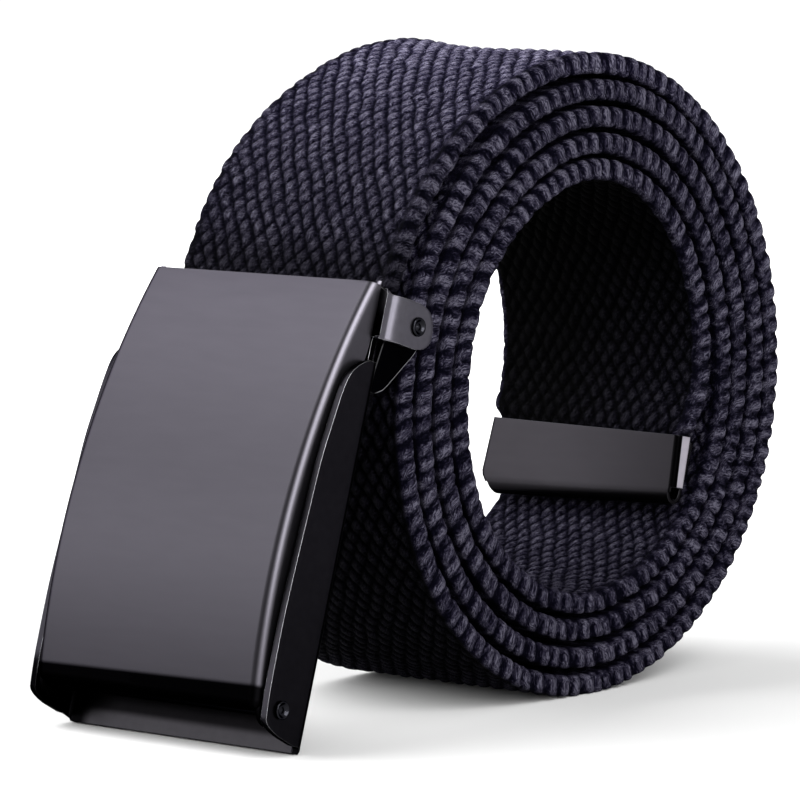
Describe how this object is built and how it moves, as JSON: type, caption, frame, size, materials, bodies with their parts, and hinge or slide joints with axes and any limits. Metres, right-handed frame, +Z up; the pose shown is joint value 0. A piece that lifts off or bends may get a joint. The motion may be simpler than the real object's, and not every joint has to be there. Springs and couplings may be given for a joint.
{
  "type": "web belt",
  "caption": "Woven canvas web belt rolled up around an open core, with a flip-top friction buckle standing beside the roll and a metal tip on the free end.",
  "frame": {"origin": "on the ground, under the middle of the belt's bounding box", "axes": "+Y along the roll's axis, +Z up, -X towards the buckle's cover"},
  "size_m": [0.12, 0.0462, 0.0928],
  "materials": {
    "webbing": "coarse basket weave of thick matt yarns, blue-grey black",
    "tip_metal": "satin gunmetal",
    "frame_metal": "dark gunmetal, semi-gloss",
    "cover_metal": "satin gunmetal, smooth",
    "pin_metal": "dark polished steel"
  },
  "bodies": {
    "belt": {"strap": "webbing", "strap_tip": "tip_metal", "buckle_frame": "frame_metal", "cover_pin": "pin_metal", "clamp_rivet_near": "pin_metal", "clamp_rivet_far": "pin_metal"},
    "cover": {"buckle_cover": "cover_metal"},
    "jaw": {"clamp_jaw": "frame_metal"}
  },
  "joints": [
    {"name": "cover_hinge", "type": "hinge", "parent": "belt", "child": "cover", "pos_m": [-0.0565, 0, 0.0068], "axis": [0, -1, 0], "range_deg": [0, 90]},
    {"name": "clamp_hinge", "type": "hinge", "parent": "belt", "child": "jaw", "pos_m": [-0.02795, 0, 0.05646], "axis": [0, -1, 0], "range_deg": [0, 14]}
  ]
}
